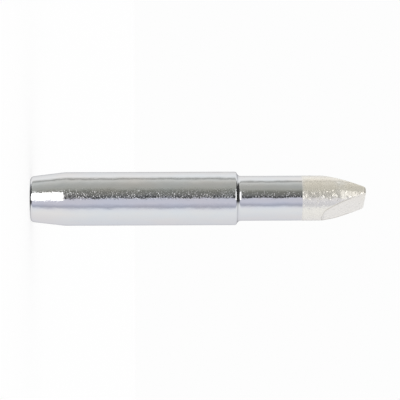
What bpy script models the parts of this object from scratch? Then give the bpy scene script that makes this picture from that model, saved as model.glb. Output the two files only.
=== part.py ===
# Soldering iron tip: a plated copper sleeve with a chisel-ended stem, all one turned piece.
# Units are metres. The tip stands on its open rear rim, with its axis on Z and the chisel up.
# The chisel's two flats face -X and +X, and its edge runs along Y.

import math

import bmesh
import bpy
from mathutils import Matrix, Vector

# Sleeve that slides over the heater
SLEEVE_DIAMETER = 0.0065
SLEEVE_LENGTH = 0.0251
SHOULDER_CORNER_RADIUS = 0.00013

# Rear end of the sleeve: a slight taper to the open rim, whose outer corner is rounded
REAR_TAPER_LENGTH = 0.00415
REAR_TAPER_BLEND_RADIUS = 0.006
REAR_DIAMETER = 0.0055
RIM_RADIUS = 0.00045

# Blind bore for the heater
BORE_DIAMETER = 0.0042
BORE_DEPTH = 0.0240
BORE_CHAMFER = 0.00006
DRILL_POINT_ANGLE = math.radians(118)

# Stem in front of the shoulder
STEM_DIAMETER = 0.00545
STEM_LENGTH = 0.0156
STEM_FILLET_RADIUS = 0.00028

# Nose, turned slightly conical before the flats are ground
NOSE_TAPER_LENGTH = 0.0032
NOSE_DIAMETER = 0.00490
NOSE_BLEND_RADIUS = 0.012
NOSE_CORNER_RADIUS = 0.00050

# Chisel flats, each with the short steep run-out where the grinding wheel left off
FLAT_ANGLE = math.radians(21)
FLAT_LENGTH = 0.00505
EDGE_THICKNESS = 0.00066
EDGE_RADIUS = 0.00016
RUN_OUT_ANGLE = math.radians(50)

# Solder coat on the working end, thickest along its edge and thinned before the flats begin
TINNED_LENGTH = 0.00774
TIN_EDGE_THICKNESS = 0.000024
TIN_THICKNESS = 0.000012
TIN_EDGE_LENGTH = 0.00020
TIN_THINNED_BEFORE_FLATS = 0.0010

# The blank is turned this much longer than the ground tip
GRINDING_ALLOWANCE = 0.00002

# How finely round shapes are divided
SEGMENTS_AROUND = 64
ARC_STEP = math.radians(18)
BLEND_STEPS = 4

# Rounded corners may use up to this share of the side between them
MOST_OF_A_SIDE = 0.95
STRAIGHT = math.radians(0.1)

OVERALL_LENGTH = SLEEVE_LENGTH + STEM_LENGTH


def clear_scene():
    for thing in list(bpy.data.objects):
        bpy.data.objects.remove(thing, do_unlink=True)


def make_collection(name):
    collection = bpy.data.collections.new(name)
    bpy.context.scene.collection.children.link(collection)
    return collection


def make_material(name, colour, roughness):
    material = bpy.data.materials.new(name)
    material.use_nodes = True
    shader = material.node_tree.nodes["Principled BSDF"]
    shader.inputs["Base Color"].default_value = (*colour, 1.0)
    shader.inputs["Metallic"].default_value = 1.0
    shader.inputs["Roughness"].default_value = roughness
    material.diffuse_color = (*colour, 1.0)
    return material


def turn_at(before, corner, after):
    """How far an outline turns at a corner: 0 where it runs straight on."""
    return math.pi - (before - corner).angle(after - corner)


def corner_arc(before, corner, after, setback):
    """Points of the arc that rounds a corner, touching both of its sides at the setback from it."""
    turn = turn_at(before, corner, after)
    if turn < STRAIGHT or not setback:
        return [corner]
    to_before = (before - corner).normalized()
    to_after = (after - corner).normalized()
    centre = corner + (to_before + to_after).normalized() * (setback / math.sin(turn / 2))
    start = corner + to_before * setback
    steps = max(BLEND_STEPS, math.ceil(turn / ARC_STEP))
    side = 1 if to_before.cross(to_after) < 0 else -1
    return [
        centre + Matrix.Rotation(side * turn * step / steps, 2) @ (start - centre)
        for step in range(steps + 1)
    ]


def rounded_outline(corners):
    """An open outline from (x, y, radius) corners, where a radius of 0 leaves the corner sharp."""
    places = [Vector((x, y)) for x, y, radius in corners]
    setbacks = [0.0] * len(corners)
    for index in range(1, len(corners) - 1):
        turn = turn_at(*places[index - 1:index + 2])
        setbacks[index] = corners[index][2] * math.tan(turn / 2)
    outline = [places[0]]
    for index in range(1, len(corners) - 1):
        fit = 1.0
        for beside in (index - 1, index + 1):
            wanted = setbacks[index] + setbacks[beside]
            side_length = (places[beside] - places[index]).length
            if wanted > MOST_OF_A_SIDE * side_length:
                fit = min(fit, MOST_OF_A_SIDE * side_length / wanted)
        outline += corner_arc(*places[index - 1:index + 2], setbacks[index] * fit)
    outline.append(places[-1])
    return outline


def turned_profile():
    """Half section of the blank: from the nose down the outside, round the rim and up the bore."""
    sleeve = SLEEVE_DIAMETER / 2
    stem = STEM_DIAMETER / 2
    tin_edge = stem + TIN_EDGE_THICKNESS
    tinned = stem + TIN_THICKNESS
    nose = NOSE_DIAMETER / 2
    rear = REAR_DIAMETER / 2
    bore = BORE_DIAMETER / 2
    blank_length = OVERALL_LENGTH + GRINDING_ALLOWANCE
    tin_line = OVERALL_LENGTH - TINNED_LENGTH
    thinned = OVERALL_LENGTH - FLAT_LENGTH - TIN_THINNED_BEFORE_FLATS
    drill_point = bore / math.tan(DRILL_POINT_ANGLE / 2)
    return rounded_outline([
        (0, blank_length, 0),
        (nose, blank_length, NOSE_CORNER_RADIUS),
        (tinned, OVERALL_LENGTH - NOSE_TAPER_LENGTH, NOSE_BLEND_RADIUS),
        (tinned, thinned, 0),
        (tin_edge, tin_line + TIN_EDGE_LENGTH, 0),
        (stem, tin_line, 0),
        (stem, SLEEVE_LENGTH, STEM_FILLET_RADIUS),
        (sleeve, SLEEVE_LENGTH, SHOULDER_CORNER_RADIUS),
        (sleeve, REAR_TAPER_LENGTH, REAR_TAPER_BLEND_RADIUS),
        (rear, 0, RIM_RADIUS),
        (bore + BORE_CHAMFER, 0, 0),
        (bore, BORE_CHAMFER, 0),
        (bore, BORE_DEPTH, 0),
        (0, BORE_DEPTH + drill_point, 0),
    ])


def turn_on_lathe(name, outline, collection):
    """A solid of revolution about Z from an outline in the XZ plane."""
    mesh = bpy.data.meshes.new(name)
    points = [(point.x, 0, point.y) for point in outline]
    edges = [(index, index + 1) for index in range(len(points) - 1)]
    mesh.from_pydata(points, edges, [])
    turned = bpy.data.objects.new(name, mesh)
    collection.objects.link(turned)
    screw = turned.modifiers.new("Turning", "SCREW")
    screw.axis = "Z"
    screw.steps = SEGMENTS_AROUND
    screw.render_steps = SEGMENTS_AROUND
    screw.use_merge_vertices = True
    screw.merge_threshold = 1e-7
    return turned


def flats_outline():
    """What grinding leaves, seen along the chisel's edge: a house whose steep roof flares at its eaves."""
    half_width = SLEEVE_DIAMETER
    half_edge = EDGE_THICKNESS / 2
    flat_start = OVERALL_LENGTH - FLAT_LENGTH
    half_start = half_edge + FLAT_LENGTH * math.tan(FLAT_ANGLE)
    eaves = flat_start - (half_width - half_start) / math.tan(RUN_OUT_ANGLE)
    below = -SLEEVE_DIAMETER
    ridge = OVERALL_LENGTH
    right_side = rounded_outline([
        (half_width, below, 0),
        (half_width, eaves, 0),
        (half_start, flat_start, 0),
        (half_edge, ridge, EDGE_RADIUS),
        (0, ridge, 0),
    ])
    left_side = [Vector((-point.x, point.y)) for point in reversed(right_side[:-1])]
    return right_side[:-1] + left_side


def make_flats_guide(collection):
    """The prism that the turned blank is trimmed to, welded from an extruded flat outline."""
    outline = flats_outline()
    curve = bpy.data.curves.new("flats_guide", "CURVE")
    curve.dimensions = "2D"
    curve.fill_mode = "BOTH"
    curve.extrude = SLEEVE_DIAMETER
    spline = curve.splines.new("POLY")
    spline.points.add(len(outline) - 1)
    for point, place in zip(spline.points, outline):
        point.co = (place.x, place.y, 0, 1)
    spline.use_cyclic_u = True
    drawn = bpy.data.objects.new("flats_guide_outline", curve)
    collection.objects.link(drawn)
    # The outline's X stays world X and its Y becomes world Z
    drawn.matrix_world = Matrix.Rotation(math.pi / 2, 4, "X")
    bpy.context.view_layer.update()
    mesh = bpy.data.meshes.new_from_object(drawn.evaluated_get(bpy.context.evaluated_depsgraph_get()))
    weld_caps(mesh)
    guide = bpy.data.objects.new("flats_guide", mesh)
    collection.objects.link(guide)
    guide.matrix_world = drawn.matrix_world
    guide.hide_render = True
    guide.display_type = "WIRE"
    bpy.data.objects.remove(drawn, do_unlink=True)
    return guide


def weld_caps(mesh):
    shape = bmesh.new()
    shape.from_mesh(mesh)
    bmesh.ops.remove_doubles(shape, verts=shape.verts, dist=1e-7)
    shape.to_mesh(mesh)
    shape.free()


def grind_flats(blank, guide):
    grinding = blank.modifiers.new("Chisel flats", "BOOLEAN")
    grinding.operation = "INTERSECT"
    grinding.object = guide
    grinding.solver = "EXACT"


def settle_mesh(piece):
    """Turn the modifiers' result into the piece's own mesh, shaded smooth between its real edges."""
    bpy.context.view_layer.update()
    evaluated = piece.evaluated_get(bpy.context.evaluated_depsgraph_get())
    mesh = bpy.data.meshes.new_from_object(evaluated)
    piece.modifiers.clear()
    piece.data = mesh
    mesh.name = piece.name
    mesh.shade_smooth()
    mesh.set_sharp_from_angle(angle=math.radians(25))


def finish_surfaces(piece):
    """Bright plating on the sleeve and stem, solder on everything in front of the tin line."""
    plating = make_material("bright chromium plating", (0.72, 0.73, 0.75), 0.12)
    tinning = make_material("tinned working end", (0.70, 0.69, 0.67), 0.28)
    piece.data.materials.clear()
    piece.data.materials.append(plating)
    piece.data.materials.append(tinning)
    tin_line = OVERALL_LENGTH - TINNED_LENGTH
    for face in piece.data.polygons:
        face.material_index = 1 if face.center.z > tin_line else 0


def main():
    clear_scene()
    parts = make_collection("Soldering iron tip")
    cutters = make_collection("Cutters")
    tip = turn_on_lathe("soldering_tip", turned_profile(), parts)
    grind_flats(tip, make_flats_guide(cutters))
    settle_mesh(tip)
    finish_surfaces(tip)


main()
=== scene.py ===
# Soldering iron tip, dressed: bright chromium plate on the sleeve and stem, solder on the chisel end.
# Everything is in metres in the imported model's frame. The tip stands on its rear rim with its axis on Z.
import math

import bmesh
import bpy
from mathutils import Matrix, Vector, noise


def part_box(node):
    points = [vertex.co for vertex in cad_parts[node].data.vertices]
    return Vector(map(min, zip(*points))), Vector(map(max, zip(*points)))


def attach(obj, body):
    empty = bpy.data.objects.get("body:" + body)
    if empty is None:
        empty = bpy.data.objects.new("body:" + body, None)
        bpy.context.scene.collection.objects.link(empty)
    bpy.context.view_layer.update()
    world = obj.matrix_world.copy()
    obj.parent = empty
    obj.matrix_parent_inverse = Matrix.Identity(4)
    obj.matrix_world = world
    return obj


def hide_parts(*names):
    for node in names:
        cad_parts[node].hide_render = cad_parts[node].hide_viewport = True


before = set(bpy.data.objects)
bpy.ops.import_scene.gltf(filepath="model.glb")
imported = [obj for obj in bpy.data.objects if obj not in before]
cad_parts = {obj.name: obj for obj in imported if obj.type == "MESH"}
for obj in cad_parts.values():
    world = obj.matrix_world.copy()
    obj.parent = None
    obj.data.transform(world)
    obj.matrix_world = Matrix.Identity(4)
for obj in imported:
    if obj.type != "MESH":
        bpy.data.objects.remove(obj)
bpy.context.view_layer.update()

mm = 0.001

tipLow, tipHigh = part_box("soldering_tip")
overallLength = tipHigh.z - tipLow.z
sleeveRadius = (tipHigh.x - tipLow.x) / 2


def hexColour(text):
    # sRGB hex to the linear values that Blender's sockets take
    parts = [int(text[i:i + 2], 16) / 255 for i in (1, 3, 5)]
    return tuple(p / 12.92 if p <= 0.04045 else ((p + 0.055) / 1.055) ** 2.4 for p in parts) + (1.0,)


def addNode(tree, kind, settings=None, **inputs):
    # one node: settings are its own properties, and inputs are values, sockets, or nodes whose first output
    # in use is taken. An input goes by its name, with _ for a space, or by its number, as in i0.
    node = tree.nodes.new(kind)
    for name, value in (settings or {}).items():
        setattr(node, name, value)
    for name, value in inputs.items():
        key = int(name[1:]) if name[0] == "i" and name[1:].isdigit() else name.replace("_", " ")
        if isinstance(value, bpy.types.Node):
            value = next(output for output in value.outputs if output.enabled)
        if isinstance(value, bpy.types.NodeSocket):
            tree.links.new(value, node.inputs[key])
        else:
            node.inputs[key].default_value = value
    return node


# settings that many of the nodes share
add = {"operation": "ADD"}
multiply = {"operation": "MULTIPLY"}
scale = {"operation": "SCALE"}
dotProduct = {"operation": "DOT_PRODUCT"}
mixColours = {"data_type": "RGBA"}      # its factor is i0 and its colours are i6 and i7


def fillRamp(node, stops):
    # stops are (position, colour) pairs in rising order
    ramp = node.color_ramp
    while len(ramp.elements) > 1:
        ramp.elements.remove(ramp.elements[-1])
    ramp.elements[0].position, ramp.elements[0].color = stops[0]
    for position, colour in stops[1:]:
        ramp.elements.new(position).color = colour


# Camera: level with the middle of the tip, 24 degrees round from the chisel's edge, and rolled on its side
# so that the standing tip lies along the picture
shot = {
    "azimuth": 24,              # degrees round Z from -Y towards +X
    "roll": 0.22,               # degrees that the axis climbs to the right in the picture
    "distance": 280 * mm,
    "frameWidth": 48.75 * mm,   # what the 400 pixels span at the axis
    "aim": 20.61 * mm,          # height on the axis at the picture's centre
    "stand": 15 * mm,           # height of the camera itself
    "drop": 0.18 * mm,          # the picture's centre lies this far below the axis
    "sensor": 36.0,
    "sees": (10 * mm, 5000 * mm),
}

turn = math.radians(shot["azimuth"])
toCamera = Vector((math.sin(turn), -math.cos(turn), 0))
pictureUp = Vector((-math.cos(turn), -math.sin(turn), 0))


def placeCamera():
    roll = math.radians(shot["roll"])
    right = Vector((0, 0, 1)) * math.cos(roll) - pictureUp * math.sin(roll)
    up = Vector((0, 0, 1)) * math.sin(roll) + pictureUp * math.cos(roll)
    lens = bpy.data.cameras.new("camera")
    lens.sensor_width = shot["sensor"]
    lens.lens = shot["sensor"] * shot["distance"] / shot["frameWidth"]
    lens.clip_start, lens.clip_end = shot["sees"]
    camera = bpy.data.objects.new("camera", lens)
    bpy.context.scene.collection.objects.link(camera)
    target = Vector((0, 0, tipLow.z + shot["aim"])) - up * shot["drop"]
    stand = target + toCamera * shot["distance"] - right * (shot["aim"] - shot["stand"])
    back = (stand - target).normalized()
    right = up.cross(back).normalized()
    pose = Matrix((right, back.cross(right), back)).transposed().to_4x4()
    pose.translation = stand
    camera.matrix_world = pose
    bpy.context.scene.camera = camera


placeCamera()
print("camera placed")


# Studio: pale cards all round, as bright metal shows them, with a dim gap just above the camera in the
# picture and a dark strip straight behind the tip. Angles are degrees round Z from the camera towards the
# picture's upper side, or degrees above and below the camera's level.
studio = {
    "backdrop": "#FDFDFD",
    "ringLight": 1.12,          # the cards are lit this much brighter than the paper
    "ring": [
        (-180, "#55575B"), (-168, "#BCBCC0"), (-156, "#D9D9DE"), (-135, "#E8E8EC"), (-67, "#F6F7F8"),
        (-54, "#F3F5F8"), (-48, "#EDEEF5"), (-40, "#C8CBD6"), (-36, "#B6B8C6"), (-25, "#CCCEDD"),
        (-20, "#D7D8E5"), (-1, "#D6D7E4"), (3, "#5A5B5D"), (7, "#454648"), (15, "#777878"),
        (20, "#7E7F7B"), (28, "#7D7E7A"), (34, "#85867F"), (43, "#A8A9A3"), (48, "#B3B4AE"),
        (62, "#B8B8B4"), (72, "#C3C3BE"), (84, "#D9D9D5"), (89, "#D2D2CE"), (94, "#ABABA8"),
        (99, "#BABAB7"), (103, "#E5E5E3"), (114, "#FFFFFF"), (130, "#F6F6F6"), (147, "#EBEBEB"),
        (168, "#B8B8BC"), (180, "#55575B"),
    ],
    # two lamps beside the camera, above and below its level, each dim at its near end; where a value is a
    # pair, it is (above, below)
    "lampFrom": -6, "lampTo": (38, 31),
    "lampLow": 8, "lampHigh": (48, 76),
    "lampGrow": ((11, 26), (10, 14)),       # from dim to full light between these levels
    "lampDim": 0.85, "lampLight": (2.2, 2.6),
    "soft": 2, "farSoft": 6,                # how far a lamp fades at its sides, and at its far end
    # past the ends of the cards, overhead and underneath, it is dim again, but not low in the picture:
    # the share of the way up at which the dim ends start, and at which they are whole
    "endFade": (42, 54), "endLight": 0.06,
    "endSide": (-0.35, -0.15),
}


def lightStudio():
    world = bpy.data.worlds.new("studio")
    bpy.context.scene.world = world
    world.use_nodes = True
    tree = world.node_tree
    tree.nodes.clear()
    smooth = {"interpolation_type": "SMOOTHSTEP"}
    way = addNode(tree, "ShaderNodeTexCoord").outputs["Generated"]
    upward = addNode(tree, "ShaderNodeVectorMath", dotProduct, i0=way, i1=pictureUp)
    forward = addNode(tree, "ShaderNodeVectorMath", dotProduct, i0=way, i1=toCamera)
    swing = addNode(tree, "ShaderNodeMath", {"operation": "ARCTAN2"}, i0=upward, i1=forward)
    share = addNode(tree, "ShaderNodeMapRange", Value=swing, From_Min=-math.pi, From_Max=math.pi)
    ring = addNode(tree, "ShaderNodeValToRGB", Fac=share)
    fillRamp(ring, [((angle + 180) / 360, hexColour(colour)) for angle, colour in studio["ring"]])
    cards = addNode(tree, "ShaderNodeVectorMath", scale, i0=ring, Scale=studio["ringLight"])

    steepness = addNode(tree, "ShaderNodeSeparateXYZ", Vector=way).outputs["Z"]
    height = addNode(tree, "ShaderNodeMath", {"operation": "ARCSINE"}, i0=steepness)
    soft, farSoft = math.radians(studio["soft"]), math.radians(studio["farSoft"])
    lampFrom, lampLow = math.radians(studio["lampFrom"]), math.radians(studio["lampLow"])
    endFrom, endTo = (math.radians(angle) for angle in studio["endFade"])
    # where the lamps are, how bright, and the dim ends: each adds up from above the level and below it
    lamp, light, end = 0.0, studio["lampDim"], 0.0
    for side, sign in enumerate((1.0, -1.0)):
        level = addNode(tree, "ShaderNodeMath", multiply, i0=height, i1=sign)
        lampHigh, lampTo = (math.radians(studio[key][side]) for key in ("lampHigh", "lampTo"))
        growFrom, growTo = (math.radians(angle) for angle in studio["lampGrow"][side])
        card = 1.0
        for value, none, full in (
            (level, lampLow - soft / 2, lampLow + soft / 2),
            (level, lampHigh + farSoft, lampHigh),
            (swing, lampFrom - soft, lampFrom + soft),
            (swing, lampTo + soft, lampTo - soft),
        ):
            edge = addNode(tree, "ShaderNodeMapRange", smooth, Value=value, From_Min=none, From_Max=full)
            card = addNode(tree, "ShaderNodeMath", multiply, i0=card, i1=edge)
        lamp = addNode(tree, "ShaderNodeMath", add, i0=lamp, i1=card)
        extra = studio["lampLight"][side] - studio["lampDim"]
        growth = addNode(tree, "ShaderNodeMapRange", smooth, Value=level, From_Min=growFrom, From_Max=growTo,
                         To_Max=extra)
        light = addNode(tree, "ShaderNodeMath", add, i0=light, i1=growth)
        past = addNode(tree, "ShaderNodeMapRange", smooth, Value=level, From_Min=endFrom, From_Max=endTo)
        end = addNode(tree, "ShaderNodeMath", add, i0=end, i1=past)

    endNone, endFull = studio["endSide"]
    sided = addNode(tree, "ShaderNodeMapRange", smooth, Value=upward, From_Min=endNone, From_Max=endFull)
    end = addNode(tree, "ShaderNodeMath", multiply, i0=end, i1=sided)
    endGrey = (studio["endLight"],) * 3 + (1.0,)
    ended = addNode(tree, "ShaderNodeMix", mixColours, i0=end, i6=cards, i7=endGrey)
    seen = addNode(tree, "ShaderNodeMix", mixColours, i0=lamp, i6=ended, i7=light)
    # metal mirrors the studio; the camera and the paper get the plain white that it adds up to
    glossy = addNode(tree, "ShaderNodeLightPath").outputs["Is Glossy Ray"]
    shown = addNode(tree, "ShaderNodeMix", mixColours, i0=glossy, i6=hexColour(studio["backdrop"]), i7=seen)
    background = addNode(tree, "ShaderNodeBackground", Color=shown, Strength=1.0)
    addNode(tree, "ShaderNodeOutputWorld", Surface=background)


lightStudio()
print("studio lit")


# Floor: matt white paper
floorSheet = {
    "radius": 1500 * mm,
    "sides": 96,
    "colour": "#A6A6A6",
    "lift": 0.62,               # brings the paper up to the backdrop's white, with a light shadow kept
}


def layFloor():
    material = bpy.data.materials.new("matt white paper")
    material.use_nodes = True
    tree = material.node_tree
    tree.nodes.clear()
    paper = addNode(tree, "ShaderNodeBsdfDiffuse", Color=hexColour(floorSheet["colour"]))
    seen = addNode(tree, "ShaderNodeLightPath").outputs["Is Camera Ray"]
    lift = addNode(tree, "ShaderNodeMath", multiply, i0=seen, i1=floorSheet["lift"])
    glow = addNode(tree, "ShaderNodeEmission", Color=(1.0, 1.0, 1.0, 1.0), Strength=lift)
    sheet = addNode(tree, "ShaderNodeAddShader", i0=paper, i1=glow)
    addNode(tree, "ShaderNodeOutputMaterial", Surface=sheet)

    shape = bmesh.new()
    bmesh.ops.create_circle(shape, cap_ends=True, segments=floorSheet["sides"], radius=floorSheet["radius"])
    mesh = bpy.data.meshes.new("floor")
    shape.to_mesh(mesh)
    shape.free()
    mesh.materials.append(material)
    floor = bpy.data.objects.new("floor", mesh)
    floor.location.z = tipLow.z
    floor.visible_glossy = False     # the plating mirrors the studio's cards below the tip, not the paper
    bpy.context.scene.collection.objects.link(floor)


layFloor()
print("floor laid")


# The tip itself, turned as one piece and ground to a chisel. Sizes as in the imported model, but some corners
# are rounder by up to 0.3 mm, the shoulder leans a little, and each flat lies 0.6 degrees further from the
# axis. Angles are in degrees.
tip = {
    "sleeveLength": 25.1 * mm, "shoulderRadius": 0.28 * mm,
    "shoulderLean": (-0.10 * mm, 0.145 * mm),       # its outer and inner corner, from the sleeve's length
    "rearTaper": 4.15 * mm, "rearBlend": 6 * mm, "rearDiameter": 5.5 * mm, "rimRadius": 0.45 * mm,
    "bore": 4.2 * mm, "boreDepth": 24 * mm, "boreChamfer": 0.06 * mm, "drillPoint": 118,
    "stemDiameter": 5.45 * mm, "stemFillet": 0.55 * mm,
    "noseTaper": 3.2 * mm, "noseDiameter": 4.9 * mm, "noseBlend": 12 * mm, "noseRadius": 0.5 * mm,
    "flatAngle": 21.6, "edge": 0.66 * mm, "edgeRadius": 0.16 * mm,
    "flatLength": 5.05 * mm, "runOutAngle": 50, "runOutRound": 0.25 * mm,   # where the wheel left off
    "flatEdgeRound": 0.08 * mm,      # solder rounds the flats' outline off
    "tinned": 7.74 * mm, "coatEdge": 0.024 * mm, "coatEdgeLength": 0.17 * mm, "coatEdgeRadius": 0.51 * mm,
    "coat": 0.012 * mm, "thinnedBefore": 1.0 * mm,      # thinned this far before the flats begin
    "around": 208,                   # points in each ring
    "ringStep": 0.05 * mm,           # between rings on the solder
    "plainStep": 2.0 * mm,           # and along the plain cylinder
    "arcStep": 7, "arcLeast": 6,     # angle between points on an arc, and the fewest steps in one
    "sideShare": 0.95,               # an arc may take up this much of the sides beside it
    "straight": 0.002,               # a corner that bends less than this, in radians, is none
    "sharpFrom": 38,                 # angle between faces from which shading shows an edge
    "weld": 1e-7,                    # points closer than this are one
}


def roundCorners(corners):
    # an open outline from (radius, height, corner radius) corners, with an arc at each rounded one
    places = [Vector(corner[:2]) for corner in corners]
    points = [places[0]]
    for before, here, after, corner in zip(places, places[1:], places[2:], corners[1:]):
        back, on = (before - here).normalized(), (after - here).normalized()
        bend = math.pi - back.angle(on)
        if bend < tip["straight"] or not corner[2]:
            points.append(here)
            continue
        most = tip["sideShare"] * min((before - here).length, (after - here).length)
        reach = min(corner[2] * math.tan(bend / 2), most)
        steps = max(tip["arcLeast"], math.ceil(math.degrees(bend) / tip["arcStep"]))
        middle = here + (back + on).normalized() * reach / math.sin(bend / 2)
        start = here + back * reach
        side = 1 if back.cross(on) < 0 else -1
        points += [middle + Matrix.Rotation(side * bend * step / steps, 2) @ (start - middle)
                   for step in range(steps + 1)]
    return points + [places[-1]]


def divideSides(points, tinLine):
    # more rings where a side is long: close ones on the solder, far ones elsewhere
    fine = [points[0]]
    for start, end in zip(points, points[1:]):
        onSolder = min(start.y, end.y) > tinLine - tip["ringStep"]
        longest = tip["ringStep"] if onSolder else tip["plainStep"]
        steps = max(1, math.ceil((end - start).length / longest))
        fine += [start.lerp(end, step / steps) for step in range(1, steps + 1)]
    return fine


def tipProfile():
    # half section of the blank: from the nose down the outside, round the rim and up the bore
    tinLine = overallLength - tip["tinned"]
    stem = tip["stemDiameter"] / 2
    coated = stem + tip["coat"]
    thinned = overallLength - tip["flatLength"] - tip["thinnedBefore"]
    bore = tip["bore"] / 2
    point = bore / math.tan(math.radians(tip["drillPoint"] / 2))
    corners = [
        (0, overallLength, 0),
        (tip["noseDiameter"] / 2, overallLength, tip["noseRadius"]),
        (coated, overallLength - tip["noseTaper"], tip["noseBlend"]),
        (coated, thinned, 0),
        (stem + tip["coatEdge"], tinLine + tip["coatEdgeLength"], tip["coatEdgeRadius"]),
        (stem, tinLine, tip["coatEdgeLength"]),
        (stem, tip["sleeveLength"] + tip["shoulderLean"][1], tip["stemFillet"]),
        (sleeveRadius, tip["sleeveLength"] + tip["shoulderLean"][0], tip["shoulderRadius"]),
        (sleeveRadius, tip["rearTaper"], tip["rearBlend"]),
        (tip["rearDiameter"] / 2, 0, tip["rimRadius"]),
        (bore + tip["boreChamfer"], 0, 0),
        (bore, tip["boreChamfer"], 0),
        (bore, tip["boreDepth"], 0),
        (0, tip["boreDepth"] + point, 0),
    ]
    # the flat top inside the nose's corner is left open here, and filled in once the flats are ground
    return divideSides(roundCorners(corners)[1:], tinLine)


def softLess(first, second, width):
    # the lesser of two lengths, with the corner between them rounded over
    near = max(width - abs(first - second), 0) / width
    return min(first, second) - near * near * width / 4


def flatDistance(height):
    # how far the chisel's flats stand from the axis at a height, rounded in at the very edge
    slope = math.radians(tip["flatAngle"])
    radius = tip["edgeRadius"]
    down = overallLength - height
    bend = math.pi / 2 - slope
    reach = radius * math.tan(bend / 2)
    if down >= reach * math.cos(slope):
        flat = tip["edge"] / 2 + down * math.tan(slope)
        past = down - tip["flatLength"]
        runOut = flat + past * (math.tan(math.radians(tip["runOutAngle"])) - math.tan(slope))
        return -softLess(-flat, -runOut, tip["runOutRound"])
    return tip["edge"] / 2 - reach + math.sqrt(max(radius ** 2 - (radius - down) ** 2, 0))


def turnTip():
    mesh = bpy.data.meshes.new("tip")
    points = tipProfile()
    mesh.from_pydata([(p.x, 0, p.y) for p in points], [(i, i + 1) for i in range(len(points) - 1)], [])
    blank = bpy.data.objects.new("plated_tip", mesh)
    bpy.context.scene.collection.objects.link(blank)
    screw = blank.modifiers.new("turning", "SCREW")
    screw.steps = screw.render_steps = tip["around"]
    screw.use_merge_vertices = True
    screw.merge_threshold = tip["weld"]
    bpy.context.view_layer.update()
    turned = bpy.data.meshes.new_from_object(blank.evaluated_get(bpy.context.evaluated_depsgraph_get()))
    blank.modifiers.clear()
    blank.data = turned
    return blank


# How the solder froze: low broad lumps with smaller ones on them, and a bead just inside the flats' border.
# All of it fades in past the tin line and out at the chisel's edge.
solder = {
    "lump": 1.1 * mm, "lumpHeight": 0.010 * mm,
    "ripple": 0.42 * mm, "rippleHeight": 0.0025 * mm,
    "bead": 0.10 * mm, "beadAt": 0.13 * mm, "beadHeight": 0.006 * mm,
    "lineFade": 0.3 * mm, "edgeFade": 0.5 * mm,
    "seed": Vector((3.7, 1.9, 8.2)),
}


def borderDistance(place, radius):
    # roughly how far a point of the blank lies inside the border of its flat, negative outside it
    reach = flatDistance(place.z)
    slope = math.radians(tip["flatAngle"])
    if abs(place.x) <= reach:
        return (abs(place.x) - reach) / math.hypot(math.tan(slope), place.y / radius)
    onFlat = radius ** 2 - place.y ** 2 - reach ** 2
    return onFlat / (2 * math.hypot(place.y, reach * math.sin(slope)))


plateSlot, solderSlot, boreSlot = range(3)


def grindAndTin(piece):
    shape = bmesh.new()
    shape.from_mesh(piece.data)
    tinLine = overallLength - tip["tinned"]
    bore = tip["bore"] / 2
    # the flats are ground straight in from both sides, and their border is kept, in mm, for the solder
    border = shape.verts.layers.float.new("border")
    for vertex in shape.verts:
        place = vertex.co
        vertex[border] = -1.0
        if place.z > tinLine and abs(place.x) > tip["weld"]:
            vertex[border] = borderDistance(place, math.hypot(place.x, place.y)) / mm
            ground = softLess(abs(place.x), flatDistance(place.z), tip["flatEdgeRound"])
            place.x = math.copysign(ground, place.x)
    openEdges = [edge for edge in shape.edges if edge.is_boundary]
    bmesh.ops.holes_fill(shape, edges=openEdges)
    shape.normal_update()
    # the solder's own unevenness
    moves = []
    for vertex in shape.verts:
        place = vertex.co
        fade = min(1, max(0, (place.z - tinLine) / solder["lineFade"]))
        fade *= min(1, (overallLength - place.z) / solder["edgeFade"])
        if fade <= 0:
            continue
        lump = noise.noise(place / solder["lump"] + solder["seed"])
        ripple = noise.noise(place / solder["ripple"] - solder["seed"])
        bead = math.exp(-((vertex[border] * mm - solder["beadAt"]) / solder["bead"]) ** 2)
        height = lump * solder["lumpHeight"] + ripple * solder["rippleHeight"] + bead * solder["beadHeight"]
        moves.append((vertex, fade * height))
    for vertex, height in moves:
        vertex.co += vertex.normal * height
    for face in shape.faces:
        face.smooth = True
        middle = face.calc_center_median()
        if middle.z > tinLine:
            face.material_index = solderSlot
        elif math.hypot(middle.x, middle.y) < bore + tip["boreChamfer"]:
            face.material_index = boreSlot
        else:
            face.material_index = plateSlot
    shape.to_mesh(piece.data)
    shape.free()
    piece.data.set_sharp_from_angle(angle=math.radians(tip["sharpFrom"]))


tipPiece = turnTip()
for name in ("bright electroplated chromium", "hot tinned solder", "reamed bore"):
    tipPiece.data.materials.append(bpy.data.materials.new(name))
grindAndTin(tipPiece)
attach(tipPiece, "root")
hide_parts("soldering_tip")
print("tip turned:", len(tipPiece.data.polygons), "faces")


def openMaterial(slot):
    # an empty node tree for one of the tip's materials, and a pattern space that counts in millimetres
    material = tipPiece.data.materials[slot]
    material.use_nodes = True
    tree = material.node_tree
    tree.nodes.clear()
    place = addNode(tree, "ShaderNodeTexCoord").outputs["Object"]
    inMm = addNode(tree, "ShaderNodeVectorMath", scale, i0=place, Scale=1 / mm)
    return tree, inMm


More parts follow.
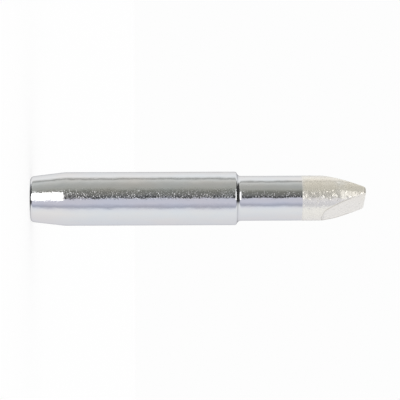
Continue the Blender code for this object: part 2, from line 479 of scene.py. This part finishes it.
# Bright chromium, electroplated over the turned copper: a mirror with a faint orange peel, and with the
# small pits and nodules of barrel plating, which throw specks of the lamps into the dark band.
# Pattern sizes and places are in mm. Noise runs from 0 to 1, and most of it is near 0.5.
chrome = {
    "colour": "#D5D8DB", "warm": "#DAD8D7",
    "bloom": 2.2, "bloomCut": (0.35, 0.65),     # faint warm patches
    "bloomSqueeze": (1.0, 1.0, 0.35),           # which are about three times as long as wide
    "wave": 1.6, "waveHeight": 0.050 * mm,
    "peel": 0.40, "peelHeight": 0.0052 * mm,
    "pit": 0.17, "pitHeight": 0.0062 * mm,      # drawn coarser than the real ones, to show as specks
    "sleevePits": (0.50, 0.715), "stemPits": (0.59, 0.765),     # they are denser on the sleeve
    "pitChange": 0.2,                           # on each side of the shoulder
    "pitSide": (-0.5, 0.1, 1.2, 1.9),           # up the picture from the axis: whole between the middle two,
    "pitWorn": 0.25,                            # and worn down to this share outside the outer two
    "cloud": 2.5, "cloudCut": (0.35, 0.7), "roughness": (0.02, 0.05),
}


def chromePlate():
    tree, inMm = openMaterial(plateSlot)
    squeezed = addNode(tree, "ShaderNodeVectorMath", multiply, i0=inMm, i1=chrome["bloomSqueeze"])
    bloom = addNode(tree, "ShaderNodeTexNoise", Vector=squeezed, Scale=1 / chrome["bloom"], Detail=3.0)
    low, high = chrome["bloomCut"]
    warmth = addNode(tree, "ShaderNodeMapRange", Value=bloom, From_Min=low, From_Max=high)
    colour = addNode(tree, "ShaderNodeMix", mixColours, i0=warmth,
                     i6=hexColour(chrome["colour"]), i7=hexColour(chrome["warm"]))

    wave = addNode(tree, "ShaderNodeTexNoise", Vector=inMm, Scale=1 / chrome["wave"], Detail=1.0)
    normal = addNode(tree, "ShaderNodeBump", Height=wave, Distance=chrome["waveHeight"])
    peel = addNode(tree, "ShaderNodeTexNoise", Vector=inMm, Scale=1 / chrome["peel"], Detail=2.0)
    normal = addNode(tree, "ShaderNodeBump", Height=peel, Distance=chrome["peelHeight"], Normal=normal)

    along = addNode(tree, "ShaderNodeSeparateXYZ", Vector=inMm).outputs["Z"]
    shoulder, change = tip["sleeveLength"] / mm, chrome["pitChange"]
    low, high = (addNode(tree, "ShaderNodeMapRange", Value=along, From_Min=shoulder - change,
                         From_Max=shoulder + change, To_Min=onSleeve, To_Max=onStem)
                 for onSleeve, onStem in zip(chrome["sleevePits"], chrome["stemPits"]))
    grain = addNode(tree, "ShaderNodeTexNoise", Vector=inMm, Scale=1 / chrome["pit"], Detail=1.0)
    pits = addNode(tree, "ShaderNodeMapRange", Value=grain, From_Min=low, From_Max=high)
    side = addNode(tree, "ShaderNodeVectorMath", dotProduct, i0=inMm, i1=pictureUp)
    wornLow, wholeLow, wholeHigh, wornHigh = chrome["pitSide"]
    for worn, whole in ((wornLow, wholeLow), (wornHigh, wholeHigh)):
        left = addNode(tree, "ShaderNodeMapRange", Value=side, From_Min=worn, From_Max=whole,
                       To_Min=chrome["pitWorn"])
        pits = addNode(tree, "ShaderNodeMath", multiply, i0=pits, i1=left)
    normal = addNode(tree, "ShaderNodeBump", Height=pits, Distance=chrome["pitHeight"], Normal=normal)

    cloud = addNode(tree, "ShaderNodeTexNoise", Vector=inMm, Scale=1 / chrome["cloud"], Detail=4.0)
    low, high = chrome["cloudCut"]
    clear, hazy = chrome["roughness"]
    haze = addNode(tree, "ShaderNodeMapRange", Value=cloud, From_Min=low, From_Max=high,
                   To_Min=clear, To_Max=hazy)
    plate = addNode(tree, "ShaderNodeBsdfPrincipled", Base_Color=colour, Metallic=1.0, Roughness=haze,
                    Normal=normal)
    addNode(tree, "ShaderNodeOutputMaterial", Surface=plate)


# Tin-lead solder over the iron-plated end: silvery, yellowed by flux on one side, with small dents where it
# froze and a thin darker line just inside the flats' border. Pattern sizes and places are in mm.
tin = {
    "colour": "#F5F2EB", "stain": "#F2ECDF", "borderDark": "#D3CEC4",
    "metal": 0.52,              # the rest is a matt film of flux residue
    # each pair runs from no stain to all of it; sides are measured up the picture from the axis
    "patch": 1.8, "patchStain": (0.25, 0.5),
    "sideStain": (-0.6, 1.2),
    "topStain": (2.8, 2.1), "topLeast": 0.3,    # along the very top a share of it is left
    "lineStain": (0, 0.35),     # from the tin line
    "lineAt": 0.10,             # the darker line's middle, inside the flats' border
    "line": (0.18, 0.072),      # from there: it ends at the first, and is whole nearer than the second
    "lineGone": (1.1, 2.0),    # from the edge: gone nearer than the first, whole past the second
    "cloud": 0.8, "cloudCut": (0.35, 0.65), "roughness": (0.17, 0.23),
    "endDull": (0.55, 0.20), "endRoughness": 0.34,      # it grows dull between these distances from the edge
    "lump": 0.9, "lumpHeight": 0.050 * mm,
    "dent": 0.55, "dentCut": (0.54, 0.76), "dentHeight": 0.032 * mm,
}


def tinnedEnd():
    tree, inMm = openMaterial(solderSlot)
    side = addNode(tree, "ShaderNodeVectorMath", dotProduct, i0=inMm, i1=pictureUp)
    along = addNode(tree, "ShaderNodeSeparateXYZ", Vector=inMm).outputs["Z"]
    tinLine, tinEnd = (overallLength - tip["tinned"]) / mm, overallLength / mm
    patches = addNode(tree, "ShaderNodeTexNoise", Vector=inMm, Scale=1 / tin["patch"], Detail=3.0)
    yellowed = 1.0
    for value, (none, full), least in (
        (patches, tin["patchStain"], 0.0),
        (side, tin["sideStain"], 0.0),
        (side, tin["topStain"], tin["topLeast"]),
        (along, [tinLine + past for past in tin["lineStain"]], 0.0),
    ):
        share = addNode(tree, "ShaderNodeMapRange", Value=value, From_Min=none, From_Max=full, To_Min=least)
        yellowed = addNode(tree, "ShaderNodeMath", multiply, i0=yellowed, i1=share)
    colour = addNode(tree, "ShaderNodeMix", mixColours, i0=yellowed,
                     i6=hexColour(tin["colour"]), i7=hexColour(tin["stain"]))

    # a thin darker line just inside the flats' border, fading out towards the chisel's edge
    border = addNode(tree, "ShaderNodeAttribute", {"attribute_name": "border"}).outputs["Fac"]
    inside = addNode(tree, "ShaderNodeMath", {"operation": "SUBTRACT"}, i0=border, i1=tin["lineAt"])
    away = addNode(tree, "ShaderNodeMath", {"operation": "ABSOLUTE"}, i0=inside)
    low, high = tin["line"]
    line = addNode(tree, "ShaderNodeMapRange", Value=away, From_Min=low, From_Max=high)
    low, high = (tinEnd - distance for distance in tin["lineGone"])
    left = addNode(tree, "ShaderNodeMapRange", Value=along, From_Min=low, From_Max=high)
    line = addNode(tree, "ShaderNodeMath", multiply, i0=line, i1=left)
    colour = addNode(tree, "ShaderNodeMix", mixColours, i0=line, i6=colour, i7=hexColour(tin["borderDark"]))

    cloud = addNode(tree, "ShaderNodeTexNoise", Vector=inMm, Scale=1 / tin["cloud"], Detail=3.0)
    low, high = tin["cloudCut"]
    bright, dull = tin["roughness"]
    haze = addNode(tree, "ShaderNodeMapRange", Value=cloud, From_Min=low, From_Max=high,
                   To_Min=bright, To_Max=dull)
    low, high = (tinEnd - distance for distance in tin["endDull"])
    ending = addNode(tree, "ShaderNodeMapRange", Value=along, From_Min=low, From_Max=high)
    haze = addNode(tree, "ShaderNodeMix", {"data_type": "FLOAT"}, i0=ending, i2=haze, i3=tin["endRoughness"])

    lumps = addNode(tree, "ShaderNodeTexNoise", Vector=inMm, Scale=1 / tin["lump"], Detail=2.0)
    normal = addNode(tree, "ShaderNodeBump", Height=lumps, Distance=tin["lumpHeight"])
    dent = addNode(tree, "ShaderNodeTexNoise", Vector=inMm, Scale=1 / tin["dent"], Detail=1.0)
    low, high = tin["dentCut"]
    dents = addNode(tree, "ShaderNodeMapRange", Value=dent, From_Min=low, From_Max=high)
    normal = addNode(tree, "ShaderNodeBump", Height=dents, Distance=tin["dentHeight"], Normal=normal)
    coat = addNode(tree, "ShaderNodeBsdfPrincipled", Base_Color=colour, Metallic=tin["metal"],
                   Roughness=haze, Normal=normal)
    addNode(tree, "ShaderNodeOutputMaterial", Surface=coat)


# The bore is reamed and stays as the plating bath left it: thin, grey and dull, with fine rings from the
# reamer, 0.12 mm apart
boreWall = {
    "colour": "#8E8B86", "roughness": 0.42,
    "ring": 0.12, "ringHeight": 0.002 * mm,
    "acrossSqueeze": 0.3,       # long enough round the bore that they read as rings
}


def reamedBore():
    tree, inMm = openMaterial(boreSlot)
    across, along = boreWall["acrossSqueeze"], 1 / boreWall["ring"]
    squeezed = addNode(tree, "ShaderNodeVectorMath", multiply, i0=inMm, i1=(across, across, along))
    rings = addNode(tree, "ShaderNodeTexNoise", Vector=squeezed, Scale=1.0, Detail=2.0)
    normal = addNode(tree, "ShaderNodeBump", Height=rings, Distance=boreWall["ringHeight"])
    wall = addNode(tree, "ShaderNodeBsdfPrincipled", Base_Color=hexColour(boreWall["colour"]), Metallic=1.0,
                   Roughness=boreWall["roughness"], Normal=normal)
    addNode(tree, "ShaderNodeOutputMaterial", Surface=wall)


chromePlate()
tinnedEnd()
reamedBore()
print("finishes made")

bpy.context.scene.view_settings.view_transform = "Standard"
